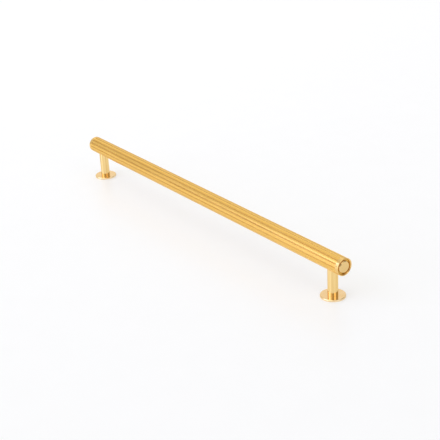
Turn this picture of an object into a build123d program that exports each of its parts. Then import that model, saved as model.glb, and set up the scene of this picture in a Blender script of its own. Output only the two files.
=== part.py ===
from build123d import *
import os
from math import asin, cos, degrees, radians, sin

# A grooved T-bar cabinet pull: a round bar with lengthwise grooves and a turned cap on
# each end, carried by two plain posts that stand on thin round roses.
# The bar runs along X at axis_height above the cabinet face, which is z = 0.
# "left" is the end at -X and "right" is the end at +X. All sizes are in millimetres.

# Bar
bar_diameter = 14.0       # over the plain strips between the grooves
groove_count = 14
groove_width = 1.0        # across its mouth
groove_depth = 0.4        # from the bar's surface to the groove's round bottom
groove_turn = 7.8         # degrees from the top of the bar to the nearest groove, towards -Y
hole_centres = 320.0      # between the two fixing screws
overhang = 13.0           # from the middle of a post to the end of the pull
axis_height = 29.0        # from the cabinet face to the bar's axis

# End caps
cap_length = 3.0          # the plain collar in front of the grooves
cap_edge_chamfer = 0.2
cap_rim_width = 0.3       # of the flat ring round the face
cap_rim_bevel = 0.5       # from the ring down into the groove
cap_groove_width = 1.1
cap_groove_depth = 1.5
cap_disc_bevel = 0.7      # round the flat disc in the middle
spigot_diameter = 7.0
spigot_length = 5.5
spigot_lead = 0.5         # chamfer on the spigot's end

# Posts and the studs that join them to the bar
post_diameter = 8.0
post_seat_depth = 2.5     # how far a post enters the underside of the bar
stud_diameter = 5.0
stud_in_bar = 5.5
stud_in_post = 6.5
stud_lead = 0.5           # chamfer on both ends of a stud
screw_diameter = 4.0      # the tapped hole in a post's foot, drawn at its major diameter
screw_hole_depth = 10.0
screw_mouth = 0.4         # countersink at the mouth of the tapped hole

# Roses
rose_diameter = 19.5
rose_thickness = 1.6
rose_hole_diameter = 4.4
rose_edge_chamfer = 0.35  # of the upper edge
rose_foot_chamfer = 0.2   # of the lower edge

# Fits
radial_clearance = 0.05   # round each spigot, stud and post in its hole
end_clearance = 0.5       # beyond the end of each spigot and stud

# Places that follow from the sizes above
bar_radius = bar_diameter / 2
post_place = hole_centres / 2
tip = post_place + overhang
bar_end = tip - cap_length
post_top = axis_height - bar_radius + post_seat_depth
sides = {"left": -1, "right": 1}


def bar_point(radius, angle):
    """A point of the bar's section, with the angle in degrees from +Y towards +Z."""
    turn = radians(angle)
    return (0, radius * cos(turn), axis_height + radius * sin(turn))


def along_bar(start, length, diameter):
    """A round pin along the bar's axis, from x = start for length towards +X."""
    return Plane.YZ.offset(start) * Pos(0, axis_height) * extrude(Circle(diameter / 2), length)


def upright(bottom, top, diameter):
    """A round pin on the Z axis between two heights."""
    return Pos(0, 0, bottom) * extrude(Circle(diameter / 2), top - bottom)


def grooved_section():
    """The bar's section: round strips of the bar's surface with a round-bottomed groove between."""
    pitch = 360 / groove_count
    half_mouth = degrees(asin(groove_width / bar_diameter))
    arcs = []
    for index in range(groove_count):
        groove = 90 + groove_turn + index * pitch
        near_edge = bar_point(bar_radius, groove - half_mouth)
        bottom = bar_point(bar_radius - groove_depth, groove)
        far_edge = bar_point(bar_radius, groove + half_mouth)
        strip_middle = bar_point(bar_radius, groove + pitch / 2)
        strip_end = bar_point(bar_radius, groove + pitch - half_mouth)
        arcs.append(ThreePointArc(near_edge, bottom, far_edge))
        arcs.append(ThreePointArc(far_edge, strip_middle, strip_end))
    return Face(Wire(arcs))


def make_bar():
    """The grooved rod, drilled in its ends for the caps and underneath for the posts."""
    rod = extrude(grooved_section(), bar_end, dir=(1, 0, 0), both=True)
    bore_length = spigot_length + end_clearance
    bore_diameter = spigot_diameter + 2 * radial_clearance
    rod -= along_bar(bar_end - bore_length, bore_length, bore_diameter)
    rod -= along_bar(-bar_end, bore_length, bore_diameter)
    seat = upright(0, post_top, post_diameter + 2 * radial_clearance)
    stud_hole_top = post_top + stud_in_bar + end_clearance
    stud_hole = upright(0, stud_hole_top, stud_diameter + 2 * radial_clearance)
    for side in sides.values():
        rod -= Pos(side * post_place, 0) * (seat + stud_hole)
    return rod


def make_right_cap():
    """A turned cap: a plain collar, a face with a bevelled groove round a disc, and a spigot."""
    ring_radius = bar_radius - cap_edge_chamfer
    ring_inner = ring_radius - cap_rim_width
    groove_outer = ring_inner - cap_rim_bevel
    groove_inner = groove_outer - cap_groove_width
    groove_floor = tip - cap_groove_depth
    spigot_radius = spigot_diameter / 2
    spigot_end = bar_end - spigot_length
    outline = Polyline(
        (spigot_end, 0),
        (spigot_end, spigot_radius - spigot_lead),
        (spigot_end + spigot_lead, spigot_radius),
        (bar_end, spigot_radius),
        (bar_end, bar_radius),
        (tip - cap_edge_chamfer, bar_radius),
        (tip, ring_radius),
        (tip, ring_inner),
        (tip - cap_rim_bevel, groove_outer),
        (groove_floor, groove_outer),
        (groove_floor, groove_inner),
        (tip - cap_disc_bevel, groove_inner),
        (tip, groove_inner - cap_disc_bevel),
        (tip, 0),
        (spigot_end, 0),
    )
    return Pos(0, 0, axis_height) * revolve(Plane.XZ * make_face(outline), Axis.X)


def make_post():
    """A plain post on the Z axis, tapped from above for its stud and from below for the screw."""
    post = upright(rose_thickness, post_top, post_diameter)
    post -= upright(post_top - stud_in_post, post_top, stud_diameter + 2 * radial_clearance)
    screw_hole_end = rose_thickness + screw_hole_depth
    post -= upright(rose_thickness, screw_hole_end, screw_diameter)
    mouth_radius = screw_diameter / 2 + screw_mouth
    mouth = Cone(mouth_radius, screw_diameter / 2, screw_mouth, align=(Align.CENTER, Align.CENTER, Align.MIN))
    return post - Pos(0, 0, rose_thickness) * mouth


def make_stud():
    """The headless stud that joins a post to the bar, with its thread drawn plain."""
    stud = upright(post_top - stud_in_post, post_top + stud_in_bar, stud_diameter)
    ends = stud.edges().filter_by(GeomType.CIRCLE)
    return chamfer(ends, stud_lead)


def make_rose():
    """The thin round plate under a post, with a clearance hole for the fixing screw."""
    plate = upright(0, rose_thickness, rose_diameter)
    rims = plate.edges().filter_by(GeomType.CIRCLE).sort_by(Axis.Z)
    plate = chamfer(rims[-1], rose_edge_chamfer)
    rims = plate.edges().filter_by(GeomType.CIRCLE).sort_by(Axis.Z)
    plate = chamfer(rims[0], rose_foot_chamfer)
    return plate - upright(0, rose_thickness, rose_hole_diameter)


def write_part(name, solid):
    export_step(solid, "parts/" + name + ".step")


os.makedirs("parts", exist_ok=True)
write_part("bar", make_bar())
right_cap = make_right_cap()
write_part("end_cap_right", right_cap)
write_part("end_cap_left", mirror(right_cap, Plane.YZ))
for side_name, side in sides.items():
    place = Pos(side * post_place, 0)
    write_part("post_" + side_name, place * make_post())
    write_part("post_stud_" + side_name, place * make_stud())
    write_part("rose_" + side_name, place * make_rose())
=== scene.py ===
import bpy
import math
from mathutils import Matrix, Vector


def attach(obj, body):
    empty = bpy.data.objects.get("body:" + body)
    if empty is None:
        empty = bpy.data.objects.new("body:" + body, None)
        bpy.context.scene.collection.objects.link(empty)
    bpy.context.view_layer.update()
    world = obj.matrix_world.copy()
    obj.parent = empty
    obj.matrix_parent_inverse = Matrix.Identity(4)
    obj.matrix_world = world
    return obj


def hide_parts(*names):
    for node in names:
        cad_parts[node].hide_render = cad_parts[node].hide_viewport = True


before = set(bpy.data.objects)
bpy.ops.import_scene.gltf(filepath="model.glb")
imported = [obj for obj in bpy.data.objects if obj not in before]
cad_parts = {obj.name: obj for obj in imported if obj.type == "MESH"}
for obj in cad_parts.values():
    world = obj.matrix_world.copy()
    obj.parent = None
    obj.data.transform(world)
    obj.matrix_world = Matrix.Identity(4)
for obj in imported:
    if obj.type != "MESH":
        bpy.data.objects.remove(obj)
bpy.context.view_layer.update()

# A grooved T-bar cabinet pull in brass. The bar runs along X, the cabinet face is z = 0,
# and sizes are in metres.
MM = 0.001

# Bar
BAR_RADIUS = 7.0 * MM        # over the plain strips between the grooves
GROOVE_COUNT = 14
GROOVE_WIDTH = 1.0 * MM      # across its mouth
GROOVE_DEPTH = 0.4 * MM
GROOVE_TURN = math.radians(7.8)   # from the top of the bar to the nearest groove, towards -Y
HALF_LENGTH = 173.0 * MM     # from the middle to the end of a cap
HALF_CENTRES = 160.0 * MM    # from the middle to a post
AXIS_HEIGHT = 29.0 * MM

# End caps
CAP_LENGTH = 3.0 * MM
CAP_EDGE = 0.2 * MM
CAP_RIM_WIDTH = 0.3 * MM
CAP_RIM_BEVEL = 0.5 * MM
CAP_GROOVE_WIDTH = 1.1 * MM
CAP_GROOVE_DEPTH = 1.5 * MM
CAP_DISC_BEVEL = 0.7 * MM
SPIGOT_RADIUS = 3.5 * MM
SPIGOT_LENGTH = 5.5 * MM
SPIGOT_LEAD = 0.5 * MM

# Posts and roses
POST_RADIUS = 4.0 * MM
POST_SEAT = 2.5 * MM         # how far a post enters the bar
STUD_RADIUS = 2.5 * MM
STUD_IN_BAR = 5.5 * MM
STUD_IN_POST = 6.5 * MM
SCREW_RADIUS = 2.0 * MM
SCREW_DEPTH = 10.0 * MM
SCREW_MOUTH = 0.4 * MM
ROSE_RADIUS = 9.75 * MM
ROSE_THICKNESS = 1.6 * MM
ROSE_HOLE = 2.2 * MM
ROSE_EDGE = 0.35 * MM
ROSE_FOOT = 0.2 * MM

# Fits
SIDE_GAP = 0.05 * MM
END_GAP = 0.5 * MM

# Modelling: steps round each curve, and the width of the softened edges
FULL_TURN = 2 * math.pi
TURNING_STEPS = 128
ROSE_STEPS = 192
STRIP_STEPS = 6
GROOVE_STEPS = 12
DRILL_SIDES = 96
CAP_SOFTENING = 0.06 * MM
POST_SOFTENING = 0.05 * MM
ROSE_SOFTENING = 0.08 * MM
CRISP_EDGE = math.radians(24)     # edges sharper than this aren't smoothed
SOFTENED_EDGE = math.radians(28)  # edges sharper than this are softened
SAME_POINT = 1e-7                 # points nearer than this are merged

# Places that follow from the sizes above
BAR_END = HALF_LENGTH - CAP_LENGTH
POST_TOP = AXIS_HEIGHT - BAR_RADIUS + POST_SEAT
BAR_AXIS = Vector((0, 0, AXIS_HEIGHT))


# Modelling helpers

def deselect_everything():
    for item in list(bpy.context.selected_objects):
        item.select_set(False)


def start_point(name, place):
    """A new object that is a single point at its place, in edit mode."""
    deselect_everything()
    bpy.ops.mesh.primitive_circle_add(vertices=3, radius=MM, location=(0, 0, 0))
    piece = bpy.context.object
    piece.name = name
    piece.data.name = name
    bpy.ops.object.mode_set(mode="EDIT")
    bpy.ops.mesh.select_all(action="SELECT")
    bpy.ops.mesh.merge(type="CENTER")
    bpy.ops.transform.translate(value=place)
    return piece


def smooth(piece):
    """Shades the piece smooth, all but its sharp edges."""
    deselect_everything()
    piece.select_set(True)
    bpy.context.view_layer.objects.active = piece
    bpy.ops.object.shade_smooth_by_angle(angle=CRISP_EDGE)


def merge_doubles():
    bpy.ops.mesh.select_all(action="SELECT")
    bpy.ops.mesh.remove_doubles(threshold=SAME_POINT)


def finish_shell(piece):
    """Merges doubles, turns the faces outwards and smooths all but the sharp edges."""
    merge_doubles()
    bpy.ops.mesh.normals_make_consistent(inside=False)
    bpy.ops.object.mode_set(mode="OBJECT")
    smooth(piece)


def turned(name, outline, centre, axis, steps=TURNING_STEPS):
    """A piece turned on a lathe: its half outline is drawn point by point and spun about axis."""
    piece = start_point(name, outline[0])
    for here, there in zip(outline, outline[1:]):
        move = Vector(there) - Vector(here)
        bpy.ops.mesh.extrude_region_move(TRANSFORM_OT_translate={"value": move})
    bpy.ops.mesh.select_all(action="SELECT")
    bpy.ops.mesh.spin(steps=steps, angle=FULL_TURN, center=centre, axis=axis)
    finish_shell(piece)
    return piece


def soften_edges(piece, width, segments=2):
    """A small bevel on each sharp edge, so that it catches the light."""
    bevel = piece.modifiers.new("softened edges", "BEVEL")
    bevel.width = width
    bevel.segments = segments
    bevel.limit_method = "ANGLE"
    bevel.angle_limit = SOFTENED_EDGE
    bpy.context.view_layer.objects.active = piece
    bpy.ops.object.modifier_apply(modifier=bevel.name)


def cut_away(piece, cutters):
    """Drills piece with each cutter in turn and removes the cutters."""
    for cutter in cutters:
        bore = piece.modifiers.new("bore", "BOOLEAN")
        bore.operation = "DIFFERENCE"
        bore.solver = "EXACT"
        bore.object = cutter
        bpy.context.view_layer.objects.active = piece
        bpy.ops.object.modifier_apply(modifier=bore.name)
        bpy.data.objects.remove(cutter)


def drill(radius, start, end):
    """A plain round cutter between two points."""
    deselect_everything()
    start, end = Vector(start), Vector(end)
    along = end - start
    bpy.ops.mesh.primitive_cylinder_add(
        vertices=DRILL_SIDES, radius=radius, depth=along.length, location=(start + end) / 2,
        rotation=along.to_track_quat("Z", "Y").to_euler())
    bpy.ops.object.transform_apply(location=True, rotation=True, scale=True)
    return bpy.context.object


# Pieces

def make_bar():
    """The grooved rod: one strip and one groove are spun, copied round the bar and drawn out."""
    pitch = FULL_TURN / GROOVE_COUNT
    half_width = GROOVE_WIDTH / 2
    half_mouth = math.asin(half_width / BAR_RADIUS)
    mouth_height = BAR_RADIUS * math.cos(half_mouth)
    rise = mouth_height - (BAR_RADIUS - GROOVE_DEPTH)
    arc_radius = (half_width ** 2 + rise ** 2) / (2 * rise)
    arc_centre = BAR_RADIUS - GROOVE_DEPTH + arc_radius
    arc_angle = 2 * math.atan2(half_width, arc_radius - rise)
    groove = math.pi / 2 + GROOVE_TURN

    def round_the_bar(radius, angle):
        return BAR_AXIS + Vector((-BAR_END, radius * math.cos(angle), radius * math.sin(angle)))

    piece = start_point("bar_grooved", round_the_bar(BAR_RADIUS, groove - pitch + half_mouth))
    strip_angle = pitch - 2 * half_mouth
    groove_centre = round_the_bar(arc_centre, groove)
    bpy.ops.mesh.spin(steps=STRIP_STEPS, angle=strip_angle, center=BAR_AXIS, axis=(-1, 0, 0))
    bpy.ops.mesh.spin(steps=GROOVE_STEPS, angle=arc_angle, center=groove_centre, axis=(1, 0, 0))
    bpy.ops.mesh.select_all(action="SELECT")
    bpy.ops.mesh.spin(
        steps=GROOVE_COUNT, angle=FULL_TURN, center=BAR_AXIS, axis=(1, 0, 0), dupli=True)
    merge_doubles()
    bpy.ops.mesh.select_all(action="SELECT")
    bpy.ops.mesh.edge_face_add()
    bpy.ops.mesh.extrude_region_move(TRANSFORM_OT_translate={"value": (2 * BAR_END, 0, 0)})
    finish_shell(piece)
    stud_hole_top = POST_TOP + STUD_IN_BAR + END_GAP
    spigot_hole_end = BAR_END - SPIGOT_LENGTH - END_GAP
    cutters = []
    for side in (-1, 1):
        x = side * HALF_CENTRES
        spigot_hole = (side * spigot_hole_end, 0, AXIS_HEIGHT)
        past_the_end = (side * (BAR_END + MM), 0, AXIS_HEIGHT)
        cutters.append(drill(POST_RADIUS + SIDE_GAP, (x, 0, 0), (x, 0, POST_TOP)))
        cutters.append(drill(STUD_RADIUS + SIDE_GAP, (x, 0, 0), (x, 0, stud_hole_top)))
        cutters.append(drill(SPIGOT_RADIUS + SIDE_GAP, spigot_hole, past_the_end))
    cut_away(piece, cutters)
    smooth(piece)
    return piece


def make_cap(name, side):
    """A turned cap: collar, rim, bevelled groove, disc and the spigot inside the bar."""
    ring = BAR_RADIUS - CAP_EDGE
    ring_inner = ring - CAP_RIM_WIDTH
    groove_outer = ring_inner - CAP_RIM_BEVEL
    groove_inner = groove_outer - CAP_GROOVE_WIDTH
    groove_floor = HALF_LENGTH - CAP_GROOVE_DEPTH
    spigot_end = BAR_END - SPIGOT_LENGTH
    profile = (
        (spigot_end, 0),
        (spigot_end, SPIGOT_RADIUS - SPIGOT_LEAD),
        (spigot_end + SPIGOT_LEAD, SPIGOT_RADIUS),
        (BAR_END, SPIGOT_RADIUS),
        (BAR_END, BAR_RADIUS),
        (HALF_LENGTH - CAP_EDGE, BAR_RADIUS),
        (HALF_LENGTH, ring),
        (HALF_LENGTH, ring_inner),
        (HALF_LENGTH - CAP_RIM_BEVEL, groove_outer),
        (groove_floor, groove_outer),
        (groove_floor, groove_inner),
        (HALF_LENGTH - CAP_DISC_BEVEL, groove_inner),
        (HALF_LENGTH, groove_inner - CAP_DISC_BEVEL),
        (HALF_LENGTH, 0),
    )
    outline = [(side * x, 0, AXIS_HEIGHT + r) for x, r in profile]
    piece = turned(name, outline, BAR_AXIS, (1, 0, 0))
    soften_edges(piece, CAP_SOFTENING)
    return piece


def make_post(name, side):
    """A plain post with the stud's hole above and the tapped hole below."""
    x = side * HALF_CENTRES
    foot = ROSE_THICKNESS
    profile = (
        (0, foot + SCREW_DEPTH),
        (SCREW_RADIUS, foot + SCREW_DEPTH),
        (SCREW_RADIUS, foot + SCREW_MOUTH),
        (SCREW_RADIUS + SCREW_MOUTH, foot),
        (POST_RADIUS, foot),
        (POST_RADIUS, POST_TOP),
        (STUD_RADIUS + SIDE_GAP, POST_TOP),
        (STUD_RADIUS + SIDE_GAP, POST_TOP - STUD_IN_POST),
        (0, POST_TOP - STUD_IN_POST),
    )
    outline = [(x + r, 0, z) for r, z in profile]
    piece = turned(name, outline, (x, 0, 0), (0, 0, 1))
    soften_edges(piece, POST_SOFTENING)
    return piece


def make_rose(name, side):
    """The thin round plate under a post, with its screw hole."""
    x = side * HALF_CENTRES
    profile = (
        (ROSE_HOLE, 0),
        (ROSE_RADIUS - ROSE_FOOT, 0),
        (ROSE_RADIUS, ROSE_FOOT),
        (ROSE_RADIUS, ROSE_THICKNESS - ROSE_EDGE),
        (ROSE_RADIUS - ROSE_EDGE, ROSE_THICKNESS),
        (ROSE_HOLE, ROSE_THICKNESS),
        (ROSE_HOLE, 0),
    )
    outline = [(x + r, 0, z) for r, z in profile]
    piece = turned(name, outline, (x, 0, 0), (0, 0, 1), steps=ROSE_STEPS)
    soften_edges(piece, ROSE_SOFTENING, segments=3)
    return piece


# Finishes

class Finish:
    """A material whose nodes are added from left to right."""

    def __init__(self, name, metallic=1.0):
        self.material = bpy.data.materials.new(name)
        self.material.use_nodes = True
        self.tree = self.material.node_tree
        self.shader = self.tree.nodes["Principled BSDF"]
        self.shader.inputs["Metallic"].default_value = metallic
        self.place = self.tree.nodes.new("ShaderNodeTexCoord").outputs["Object"]

    def node(self, kind, **settings):
        made = self.tree.nodes.new(kind)
        for key, value in settings.items():
            setattr(made, key, value)
        return made

    def link(self, source, target):
        self.tree.links.new(source, target)

    def moved(self, location=(0, 0, 0), scale=(1, 1, 1)):
        """The piece's own coordinates, moved and stretched for a pattern."""
        mapping = self.node("ShaderNodeMapping")
        self.link(self.place, mapping.inputs["Vector"])
        mapping.inputs["Location"].default_value = location
        mapping.inputs["Scale"].default_value = scale
        return mapping.outputs["Vector"]

    def noise(self, vector, scale, detail=4.0, roughness=0.55):
        made = self.node("ShaderNodeTexNoise")
        self.link(vector, made.inputs["Vector"])
        made.inputs["Scale"].default_value = scale
        made.inputs["Detail"].default_value = detail
        made.inputs["Roughness"].default_value = roughness
        return made.outputs["Fac"]

    def spread(self, value, low, high, to_low, to_high):
        """Maps a value from one range to another, held at both ends."""
        made = self.node("ShaderNodeMapRange")
        self.link(value, made.inputs["Value"])
        made.inputs["From Min"].default_value = low
        made.inputs["From Max"].default_value = high
        made.inputs["To Min"].default_value = to_low
        made.inputs["To Max"].default_value = to_high
        return made.outputs["Result"]

    def mix(self, amount, first, second):
        made = self.node("ShaderNodeMix", data_type="RGBA")
        self.link(amount, made.inputs["Factor"])
        for socket, colour in ((made.inputs[6], first), (made.inputs[7], second)):
            if isinstance(colour, tuple):
                socket.default_value = (*colour, 1)
            else:
                self.link(colour, socket)
        return made.outputs[2]

    def vary(self, noise, low, high):
        """A value that follows a noise from low to high, for roughness and wear."""
        return self.spread(noise, 0.3, 0.7, low, high)

    def share(self, noise, most=1.0):
        """The share of a second colour, which follows a noise with more contrast."""
        return self.spread(noise, 0.35, 0.65, 0.0, most)

    def math(self, operation, first, second):
        made = self.node("ShaderNodeMath", operation=operation)
        for socket, value in ((made.inputs[0], first), (made.inputs[1], second)):
            if isinstance(value, (int, float)):
                socket.default_value = value
            else:
                self.link(value, socket)
        return made.outputs[0]

    def length(self, vector):
        made = self.node("ShaderNodeVectorMath", operation="LENGTH")
        self.link(vector, made.inputs[0])
        return made.outputs["Value"]

    def from_bar_axis(self):
        """The distance from the bar's axis."""
        shifted = self.moved(location=-BAR_AXIS)
        across = self.node("ShaderNodeVectorMath", operation="MULTIPLY")
        self.link(shifted, across.inputs[0])
        across.inputs[1].default_value = (0, 1, 1)
        return self.length(across.outputs["Vector"])

    def split(self):
        """The piece's own X, Y and Z, one by one."""
        made = self.node("ShaderNodeSeparateXYZ")
        self.link(self.place, made.inputs[0])
        return made.outputs

    def joined(self, x, y):
        """A vector from two values."""
        made = self.node("ShaderNodeCombineXYZ")
        self.link(x, made.inputs["X"])
        self.link(y, made.inputs["Y"])
        return made.outputs["Vector"]

    def bump(self, height, depth):
        made = self.node("ShaderNodeBump")
        self.link(height, made.inputs["Height"])
        made.inputs["Distance"].default_value = depth
        made.inputs["Strength"].default_value = 1.0
        return made.outputs["Normal"]

    def lacquer(self, roughness):
        """A clear coat over brass that stays warm where it is seen at a glancing angle."""
        self.shader.inputs["Specular Tint"].default_value = (*GLANCING_BRASS, 1)
        self.shader.inputs["Coat Weight"].default_value = LACQUER
        self.shader.inputs["Coat Roughness"].default_value = roughness

    def wear(self, colour, roughness, normal):
        self.link(colour, self.shader.inputs["Base Color"])
        self.link(roughness, self.shader.inputs["Roughness"])
        self.link(normal, self.shader.inputs["Normal"])
        return self.material


# Tones of the metals, in linear colour
POST_BRASS = (0.96, 0.71, 0.32)
# The darker post tone, used for streaks that are partly painted reflections of shade on the floor
POST_DEEP = (0.84, 0.57, 0.21)
ROSE_BRASS = (0.90, 0.62, 0.30)
ROSE_PALE = (0.94, 0.69, 0.40)
WORN_BRASS = (0.96, 0.77, 0.46)
CAP_BRASS = (0.86, 0.61, 0.27)
CAP_DEEP = (0.81, 0.56, 0.23)
COLLAR_BRASS = (0.88, 0.58, 0.20)
# Painted shade: the dark tone laid down in the cap face's groove
CAP_GROOVE_SHADE = (0.68, 0.40, 0.07)
STRIP_BRASS = (0.89, 0.54, 0.12)
STRIP_PALE = (0.91, 0.61, 0.19)
# Painted shade: the darker tone laid into the bar's grooves
BAR_GROOVE_SHADE = (0.62, 0.34, 0.08)
GLANCING_BRASS = (1.0, 0.86, 0.62)
STEEL = (0.55, 0.56, 0.58)
STEEL_PALE = (0.68, 0.68, 0.67)

LACQUER = 0.25    # weight of the clear coat on all the brass

# How often each pattern repeats in a metre, along X, Y and Z where there are three
BRUSHED = (18, 2600, 2600)
BAR_CLOUDS = (30, 120, 120)
# Painted reflection: the posts' streaks are partly lines from drawing and partly painted
# reflections of the floor's light and shade
DRAWN_AND_REFLECTED_STREAKS = (640, 640, 14)
DRAWN_HAIRS = (4000, 4000, 90)
CAP_RINGS = 9000
CAP_CLOUDS = 160
ROSE_RINGS = 7000
POLISH_CLOUDS = 90
STEEL_CLOUDS = 300
FLOOR_GRAIN = 40


def grooved_brass():
    """Satin brass brushed along the bar, with painted shade that darkens the grooves."""
    finish = Finish("grooved_brass")
    across = finish.from_bar_axis()
    height = finish.spread(across, BAR_RADIUS - GROOVE_DEPTH, BAR_RADIUS, 0.0, 1.0)
    hairs = finish.noise(finish.moved(scale=BRUSHED), 1.0, detail=3.0)
    clouds = finish.noise(finish.moved(scale=BAR_CLOUDS), 1.0)
    # Painted shade: the colour darkens down into each groove, from the strips' brass to the
    # groove's dark tone
    tone = finish.mix(height, BAR_GROOVE_SHADE, STRIP_BRASS)
    colour = finish.mix(finish.share(hairs, most=0.35), tone, STRIP_PALE)
    rough = finish.math("ADD", finish.vary(hairs, 0.20, 0.30), finish.vary(clouds, -0.02, 0.03))
    normal = finish.bump(hairs, 0.004 * MM)
    finish.lacquer(roughness=0.10)
    return finish.wear(colour, rough, normal)


def turned_brass():
    """Lacquered brass with fine rings from the lathe, and painted shade that darkens the face's
    groove.
    """
    finish = Finish("turned_brass")
    across = finish.from_bar_axis()
    along = finish.split()["X"]
    stretched = finish.node("ShaderNodeVectorMath", operation="SCALE")
    finish.link(finish.joined(across, along), stretched.inputs[0])
    stretched.inputs["Scale"].default_value = CAP_RINGS
    rings = finish.noise(stretched.outputs["Vector"], 1.0, detail=2.0)
    clouds = finish.noise(finish.place, CAP_CLOUDS)
    face = finish.mix(finish.share(clouds), CAP_BRASS, CAP_DEEP)
    to_collar = finish.spread(across, 0.8 * BAR_RADIUS, BAR_RADIUS, 0.0, 1.0)
    outside = finish.mix(to_collar, face, COLLAR_BRASS)
    # Painted shade: deeper down the face's groove, inside the rim, the colour darkens to the
    # groove's dark tone
    depth = finish.math("SUBTRACT", HALF_LENGTH, finish.math("ABSOLUTE", along, 0.0))
    groove_shade = finish.spread(depth, CAP_RIM_BEVEL, CAP_GROOVE_DEPTH, 0.0, 1.0)
    within = finish.spread(across, 0.9 * BAR_RADIUS, 0.97 * BAR_RADIUS, 1.0, 0.0)
    colour = finish.mix(finish.math("MULTIPLY", groove_shade, within), outside, CAP_GROOVE_SHADE)
    normal = finish.bump(rings, 0.003 * MM)
    finish.lacquer(roughness=0.08)
    return finish.wear(colour, finish.vary(rings, 0.09, 0.17), normal)


def drawn_brass():
    """The posts' polished rod, with faint streaks along it: lines from drawing, and painted
    reflections of the floor's lighter and darker patches.
    """
    finish = Finish("drawn_brass")
    clouds = finish.noise(finish.place, POLISH_CLOUDS, detail=5.0)
    streaks_and_reflections = finish.noise(finish.moved(scale=DRAWN_AND_REFLECTED_STREAKS), 1.0, detail=2.0)
    hairs = finish.noise(finish.moved(scale=DRAWN_HAIRS), 1.0, detail=3.0)
    # Painted reflection: the streaks mix the dark and pale post tones, partly as drawing lines
    # and partly as painted reflections of the floor's light and shade
    colour = finish.mix(finish.spread(streaks_and_reflections, 0.36, 0.60, 0.0, 1.0), POST_DEEP, POST_BRASS)
    rough = finish.math("ADD", finish.vary(clouds, 0.08, 0.14), finish.vary(hairs, -0.02, 0.03))
    normal = finish.bump(hairs, 0.0015 * MM)
    finish.lacquer(roughness=0.05)
    return finish.wear(colour, rough, normal)


def polished_brass():
    """The roses: faint turned rings round each screw hole, and a rim worn paler by cleaning."""
    finish = Finish("polished_brass")
    place = finish.split()
    from_hole = finish.math("SUBTRACT", finish.math("ABSOLUTE", place["X"], 0.0), HALF_CENTRES)
    radius = finish.length(finish.joined(from_hole, place["Y"]))
    ring_place = finish.joined(finish.math("MULTIPLY", radius, ROSE_RINGS),
                               finish.math("MULTIPLY", place["Z"], ROSE_RINGS))
    rings = finish.noise(ring_place, 1.0, detail=2.0)
    clouds = finish.noise(finish.place, POLISH_CLOUDS, detail=5.0)
    tone = finish.mix(finish.share(clouds), ROSE_BRASS, ROSE_PALE)
    rim = finish.spread(radius, ROSE_RADIUS - 2 * ROSE_EDGE, ROSE_RADIUS, 0.0, 0.8)
    worn = finish.math("MULTIPLY", rim, finish.vary(clouds, 0.5, 1.0))
    colour = finish.mix(worn, tone, WORN_BRASS)
    rough = finish.math("ADD", finish.vary(clouds, 0.08, 0.14), finish.vary(rings, -0.02, 0.03))
    normal = finish.bump(rings, 0.001 * MM)
    finish.lacquer(roughness=0.05)
    return finish.wear(colour, rough, normal)


def stud_steel():
    """Zinc-plated steel for the hidden studs."""
    finish = Finish("stud_steel")
    clouds = finish.noise(finish.place, STEEL_CLOUDS)
    colour = finish.mix(clouds, STEEL, STEEL_PALE)
    normal = finish.bump(clouds, 0.01 * MM)
    return finish.wear(colour, finish.vary(clouds, 0.28, 0.42), normal)


def paint(piece, material):
    piece.data.materials.clear()
    piece.data.materials.append(material)


# Surroundings

def aim(azimuth, elevation):
    """A direction, with azimuth from +X towards +Y, both in degrees."""
    azimuth, elevation = math.radians(azimuth), math.radians(elevation)
    flat = math.cos(elevation)
    return (math.cos(azimuth) * flat, math.sin(azimuth) * flat, math.sin(elevation))


NEUTRAL = (1.0, 1.0, 1.0)
DAYLIGHT = (0.95, 1.08, 1.95)

# Each patch of the surrounding light: direction, full and outer radius in degrees, added
# strength and tint
LIGHT_PATCHES = (
    (aim(-110, 25), 26, 31, 0.70, DAYLIGHT),
    (aim(-110, 60), 24, 32, 0.60, NEUTRAL),
    (aim(-131, 31), 3, 9, 1.40, DAYLIGHT),
    (aim(-100, 5), 12, 18, 2.60, NEUTRAL),
    (aim(0, 90), 8, 36, 0.45, NEUTRAL),
    (aim(0, 30), 4, 24, 0.76, NEUTRAL),
    (aim(150, 30), 4, 24, 0.23, NEUTRAL),
    (aim(170, 40), 12, 22, 0.15, NEUTRAL),
    (aim(-30, 30), 4, 24, -0.33, NEUTRAL),
    (aim(60, 30), 4, 24, -0.38, NEUTRAL),
)
ROOM_LIGHT = 0.734


def make_surroundings():
    """An even bright room with a few soft lighter and darker patches, as in a small studio."""
    world = bpy.data.worlds.new("soft studio")
    bpy.context.scene.world = world
    world.use_nodes = True
    tree = world.node_tree
    background = tree.nodes["Background"]
    coordinates = tree.nodes.new("ShaderNodeTexCoord")
    total = None
    for direction, full, outer, strength, tint in LIGHT_PATCHES:
        facing = tree.nodes.new("ShaderNodeVectorMath")
        facing.operation = "DOT_PRODUCT"
        tree.links.new(coordinates.outputs["Generated"], facing.inputs[0])
        facing.inputs[1].default_value = direction
        patch = tree.nodes.new("ShaderNodeMapRange")
        patch.interpolation_type = "SMOOTHSTEP"
        tree.links.new(facing.outputs["Value"], patch.inputs["Value"])
        patch.inputs["From Min"].default_value = math.cos(math.radians(outer))
        patch.inputs["From Max"].default_value = math.cos(math.radians(full))
        patch.inputs["To Max"].default_value = strength
        added = tree.nodes.new("ShaderNodeVectorMath")
        added.operation = "MULTIPLY_ADD"
        tree.links.new(patch.outputs["Result"], added.inputs[0])
        added.inputs[1].default_value = tint
        if total is None:
            added.inputs[2].default_value = (ROOM_LIGHT, ROOM_LIGHT, ROOM_LIGHT)
        else:
            tree.links.new(total, added.inputs[2])
        total = added.outputs["Vector"]
    tree.links.new(total, background.inputs["Color"])


FLOOR_SIZE = 6.0
FLOOR_TONES = ((0.44, 0.44, 0.425), (0.46, 0.46, 0.445))
FLOOR_GLOW = (1.0, 0.995, 0.99)
FLOOR_GLOW_STRENGTH = 0.465


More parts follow.
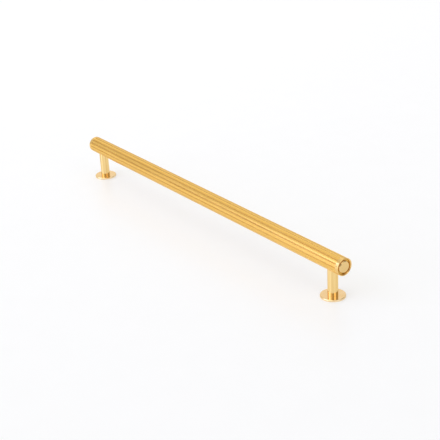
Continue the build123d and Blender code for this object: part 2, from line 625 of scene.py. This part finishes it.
def make_floor():
    """The plain white surface under the pull, lit a little from below as a light table is."""
    deselect_everything()
    bpy.ops.mesh.primitive_plane_add(size=FLOOR_SIZE, location=(0, 0, 0))
    floor = bpy.context.object
    floor.name = "white_floor"
    finish = Finish("white_floor", metallic=0.0)
    grain = finish.noise(finish.place, FLOOR_GRAIN)
    colour = finish.mix(grain, *FLOOR_TONES)
    finish.link(colour, finish.shader.inputs["Base Color"])
    finish.shader.inputs["Emission Color"].default_value = (*FLOOR_GLOW, 1)
    finish.shader.inputs["Emission Strength"].default_value = FLOOR_GLOW_STRENGTH
    finish.shader.inputs["Roughness"].default_value = 0.35
    floor.data.materials.append(finish.material)


# The camera, found from the outline of the pull in the photograph
CAMERA_PLACE = Vector((0.703594, -0.488060, 0.405010))
CAMERA_AZIMUTH = math.radians(54.3319)
CAMERA_ELEVATION = math.radians(24.8578)
CAMERA_ROLL = math.radians(-3.347)
IMAGE_SIDE = 440
FOCAL_PIXELS = 1117.94
IMAGE_CENTRE = (221.0, 218.5)
SENSOR_WIDTH = 36.0


def make_camera():
    """The camera, placed and turned as the photograph's was."""
    azimuth, elevation = CAMERA_AZIMUTH, CAMERA_ELEVATION
    flat = math.cos(elevation)
    back = Vector((math.sin(azimuth) * flat, -math.cos(azimuth) * flat, math.sin(elevation)))
    level_right = (-back).cross(Vector((0, 0, 1))).normalized()
    level_up = level_right.cross(-back)
    right = level_right * math.cos(CAMERA_ROLL) + level_up * math.sin(CAMERA_ROLL)
    up = level_up * math.cos(CAMERA_ROLL) - level_right * math.sin(CAMERA_ROLL)
    data = bpy.data.cameras.new("camera")
    camera = bpy.data.objects.new("camera", data)
    bpy.context.scene.collection.objects.link(camera)
    turn = Matrix((right, up, back)).transposed()
    camera.matrix_world = Matrix.Translation(CAMERA_PLACE) @ turn.to_4x4()
    data.sensor_width = SENSOR_WIDTH
    data.lens = FOCAL_PIXELS / IMAGE_SIDE * data.sensor_width
    data.shift_x = -(IMAGE_CENTRE[0] - IMAGE_SIDE / 2) / IMAGE_SIDE
    data.shift_y = (IMAGE_CENTRE[1] - IMAGE_SIDE / 2) / IMAGE_SIDE
    data.clip_start = 0.01
    bpy.context.scene.camera = camera


# Assembly

grooved, turned_finish, drawn = grooved_brass(), turned_brass(), drawn_brass()
polished, steel = polished_brass(), stud_steel()

bar = make_bar()
paint(bar, grooved)
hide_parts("bar")
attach(bar, "root")

for side_name, side in (("left", -1), ("right", 1)):
    cap = make_cap("cap_" + side_name, side)
    paint(cap, turned_finish)
    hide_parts("end_cap_" + side_name)
    post = make_post("plain_post_" + side_name, side)
    paint(post, drawn)
    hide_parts("post_" + side_name)
    rose = make_rose("round_rose_" + side_name, side)
    paint(rose, polished)
    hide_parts("rose_" + side_name)
    for piece in (cap, post, rose):
        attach(piece, "root")
    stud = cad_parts["post_stud_" + side_name]
    stud.data.materials.clear()
    stud.data.materials.append(steel)

make_floor()
make_surroundings()
make_camera()
bpy.context.scene.view_settings.view_transform = "Standard"
